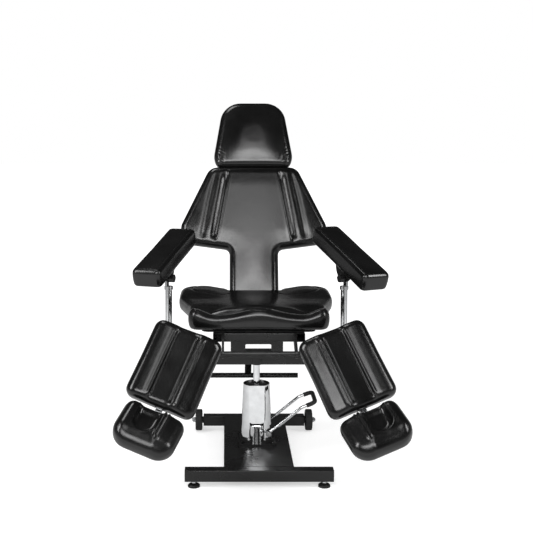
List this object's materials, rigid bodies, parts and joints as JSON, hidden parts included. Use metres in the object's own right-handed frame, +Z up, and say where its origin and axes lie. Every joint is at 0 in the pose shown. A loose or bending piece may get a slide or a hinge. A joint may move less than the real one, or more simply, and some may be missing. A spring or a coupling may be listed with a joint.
{
  "type": "tattoo chair",
  "caption": "Hydraulic tattoo chair: pump base on wheels, swivelling seat, reclining back with headrest, tilting armrests, and separate splayed leg and foot rests.",
  "frame": {"origin": "centre of the overall box, on the floor", "axes": "+Z up, -Y towards the front of the chair where the leg rests are, +X to the right of a viewer who faces the chair"},
  "size_m": [0.9212, 1.1967, 1.3207],
  "materials": {
    "vinyl_black": "gloss",
    "painted_black": "semi-gloss",
    "chrome": "polished",
    "steel_zinc": "bright zinc",
    "steel_ground": "ground",
    "rubber_black": "matt",
    "tyre_black": "matt",
    "plastic_black": "satin",
    "board_black": "covered with black cloth",
    "cast_black": "painted"
  },
  "bodies": {
    "base": {"base_front_tube": "painted_black", "base_rear_tube": "painted_black", "end_caps": "plastic_black", "base_deck_plate": "painted_black", "foot_lock_nuts": "steel_zinc", "wheel_axle": "steel_zinc", "axle_nuts": "steel_zinc", "pump_flange": "cast_black", "pump_bolts": "painted_black", "pump_cylinder": "chrome", "pump_cover": "chrome", "pump_top_seal": "plastic_black"},
    "levelling_foot_left": {"levelling_foot_left": "plastic_black"},
    "levelling_foot_right": {"levelling_foot_right": "plastic_black"},
    "wheel_left": {"wheel_tyre_left": "tyre_black", "wheel_hub_left": "plastic_black"},
    "wheel_right": {"wheel_tyre_right": "tyre_black", "wheel_hub_right": "plastic_black"},
    "pedal": {"pedal_shaft": "steel_ground", "pedal_loop": "chrome", "pedal_grip": "rubber_black"},
    "plunger": {"pump_plunger": "steel_ground"},
    "column": {"piston_rod": "chrome"},
    "carrier": {"swivel_socket": "painted_black", "cross_tube": "painted_black", "seat_bracket": "painted_black", "seat_frame": "painted_black", "back_hinge_pin": "steel_zinc", "leg_hinge_rod": "painted_black", "seat_board": "board_black", "seat_cushion": "vinyl_black", "gas_spring_cylinder": "painted_black"},
    "release_bar": {"release_bar": "painted_black"},
    "back": {"back_frame": "painted_black", "back_board": "board_black", "back_cushion": "vinyl_black"},
    "spring_rod": {"gas_spring_rod": "chrome"},
    "headrest_posts": {"headrest_posts": "chrome"},
    "headrest": {"headrest_board": "board_black", "headrest_cushion": "vinyl_black"},
    "arm_post_left": {"arm_post_left": "chrome"},
    "armrest_left": {"arm_bracket_left": "painted_black", "arm_cushion_left": "vinyl_black"},
    "arm_knob_left": {"arm_knob_left": "plastic_black"},
    "arm_post_right": {"arm_post_right": "chrome"},
    "armrest_right": {"arm_bracket_right": "painted_black", "arm_cushion_right": "vinyl_black"},
    "arm_knob_right": {"arm_knob_right": "plastic_black"},
    "leg_lift_arm_left": {"leg_lift_arm_left": "painted_black"},
    "leg_left": {"leg_board_left": "board_black", "leg_cushion_left": "vinyl_black"},
    "foot_slide_left": {"foot_slide_bar_left": "steel_zinc"},
    "foot_rest_left": {"foot_plate_left": "painted_black", "foot_cushion_left": "vinyl_black"},
    "leg_lift_arm_right": {"leg_lift_arm_right": "painted_black"},
    "leg_right": {"leg_board_right": "board_black", "leg_cushion_right": "vinyl_black"},
    "foot_slide_right": {"foot_slide_bar_right": "steel_zinc"},
    "foot_rest_right": {"foot_plate_right": "painted_black", "foot_cushion_right": "vinyl_black"}
  },
  "joints": [
    {"name": "levelling_foot_left_turn", "type": "hinge", "parent": "base", "child": "levelling_foot_left", "pos_m": [-0.222, -0.266, 0.008], "axis": [0, 0, 1], "continuous": true},
    {"name": "wheel_left_spin", "type": "hinge", "parent": "base", "child": "wheel_left", "pos_m": [-0.235, 0.314, 0.042], "axis": [1, 0, 0], "continuous": true},
    {"name": "levelling_foot_right_turn", "type": "hinge", "parent": "base", "child": "levelling_foot_right", "pos_m": [0.222, -0.266, 0.008], "axis": [0, 0, 1], "continuous": true},
    {"name": "wheel_right_spin", "type": "hinge", "parent": "base", "child": "wheel_right", "pos_m": [0.235, 0.314, 0.042], "axis": [1, 0, 0], "continuous": true},
    {"name": "pedal_press", "type": "hinge", "parent": "base", "child": "pedal", "pos_m": [0.042, 0.017, 0.109], "axis": [0, 1, 0], "range_deg": [0, 25], "stiffness_Nm_per_rad": 8, "springref_deg": -17.19},
    {"name": "plunger_push", "type": "slide", "parent": "base", "child": "plunger", "axis": [-1, 0, 0], "range_m": [0, 0.0066]},
    {"name": "column_lift", "type": "slide", "parent": "base", "child": "column", "axis": [0, 0, 1], "range_m": [-0.01, 0.13]},
    {"name": "seat_swivel", "type": "hinge", "parent": "column", "child": "carrier", "pos_m": [0, 0.017, 0.351], "axis": [0, 0, 1], "continuous": true},
    {"name": "release_bar_lift", "type": "hinge", "parent": "carrier", "child": "release_bar", "pos_m": [-0.028, 0.091, 0.366], "axis": [1, 0, 0], "range_deg": [0, 10], "stiffness_Nm_per_rad": 6, "springref_deg": -11.46},
    {"name": "back_recline", "type": "hinge", "parent": "carrier", "child": "back", "pos_m": [0, 0.34917, 0.49137], "axis": [-1, 0, 0], "range_deg": [-8, 62]},
    {"name": "gas_spring_stroke", "type": "slide", "parent": "carrier", "child": "spring_rod", "axis": [0, -1, 0], "range_m": [-0.00534, 0.04074]},
    {"name": "headrest_slide", "type": "slide", "parent": "back", "child": "headrest_posts", "axis": [0, 0.309, 0.9511], "range_m": [0, 0.07]},
    {"name": "headrest_tilt", "type": "hinge", "parent": "headrest_posts", "child": "headrest", "pos_m": [0, 0.54014, 1.07913], "axis": [1, 0, 0], "range_deg": [-25, 3]},
    {"name": "arm_left_swivel", "type": "hinge", "parent": "carrier", "child": "arm_post_left", "pos_m": [-0.325, 0.055, 0.346], "axis": [0, 0, -1], "range_deg": [-20, 90]},
    {"name": "arm_left_tilt", "type": "hinge", "parent": "arm_post_left", "child": "armrest_left", "pos_m": [-0.325, 0.055, 0.708], "axis": [-0.9511, 0.309, 0], "range_deg": [-15, 35]},
    {"name": "arm_left_knob_turn", "type": "hinge", "parent": "arm_post_left", "child": "arm_knob_left", "pos_m": [-0.325, 0.055, 0.664], "axis": [0.9511, -0.309, 0], "continuous": true},
    {"name": "arm_right_swivel", "type": "hinge", "parent": "carrier", "child": "arm_post_right", "pos_m": [0.325, 0.055, 0.346], "axis": [0, 0, 1], "range_deg": [-20, 90]},
    {"name": "arm_right_tilt", "type": "hinge", "parent": "arm_post_right", "child": "armrest_right", "pos_m": [0.325, 0.055, 0.708], "axis": [-0.9135, -0.4067, 0], "range_deg": [-15, 35]},
    {"name": "arm_right_knob_turn", "type": "hinge", "parent": "arm_post_right", "child": "arm_knob_right", "pos_m": [0.325, 0.055, 0.664], "axis": [0.9135, 0.4067, 0], "continuous": true},
    {"name": "leg_left_lift", "type": "hinge", "parent": "carrier", "child": "leg_lift_arm_left", "pos_m": [-0.25772, -0.285, 0.465], "axis": [-1, 0, 0], "range_deg": [-20, 57]},
    {"name": "leg_left_spread", "type": "hinge", "parent": "leg_lift_arm_left", "child": "leg_left", "pos_m": [-0.25772, -0.37107, 0.50138], "axis": [0, 0.8387, -0.5446], "range_deg": [-22, 15]},
    {"name": "leg_left_extend", "type": "slide", "parent": "leg_left", "child": "foot_slide_left", "axis": [-0.3778, -0.5043, -0.7765], "range_m": [0, 0.08]},
    {"name": "foot_left_tilt", "type": "hinge", "parent": "foot_slide_left", "child": "foot_rest_left", "pos_m": [-0.33782, -0.40501, 0.28938], "axis": [-0.9259, 0.2058, 0.3169], "range_deg": [-30, 3]},
    {"name": "leg_right_lift", "type": "hinge", "parent": "carrier", "child": "leg_lift_arm_right", "pos_m": [0.25772, -0.285, 0.465], "axis": [-1, 0, 0], "range_deg": [-20, 57]},
    {"name": "leg_right_spread", "type": "hinge", "parent": "leg_lift_arm_right", "child": "leg_right", "pos_m": [0.25772, -0.37107, 0.50138], "axis": [0, -0.8387, 0.5446], "range_deg": [-22, 15]},
    {"name": "leg_right_extend", "type": "slide", "parent": "leg_right", "child": "foot_slide_right", "axis": [0.3778, -0.5043, -0.7765], "range_m": [0, 0.08]},
    {"name": "foot_right_tilt", "type": "hinge", "parent": "foot_slide_right", "child": "foot_rest_right", "pos_m": [0.33782, -0.40501, 0.28938], "axis": [-0.9259, -0.2058, -0.3169], "range_deg": [-30, 3]}
  ],
  "couplings": [
    {"joint": "plunger_push", "follows": "pedal_press", "m_per_rad": 0.015},
    {"joint": "gas_spring_stroke", "follows": "back_recline", "m_per_rad": 0.037558}
  ]
}
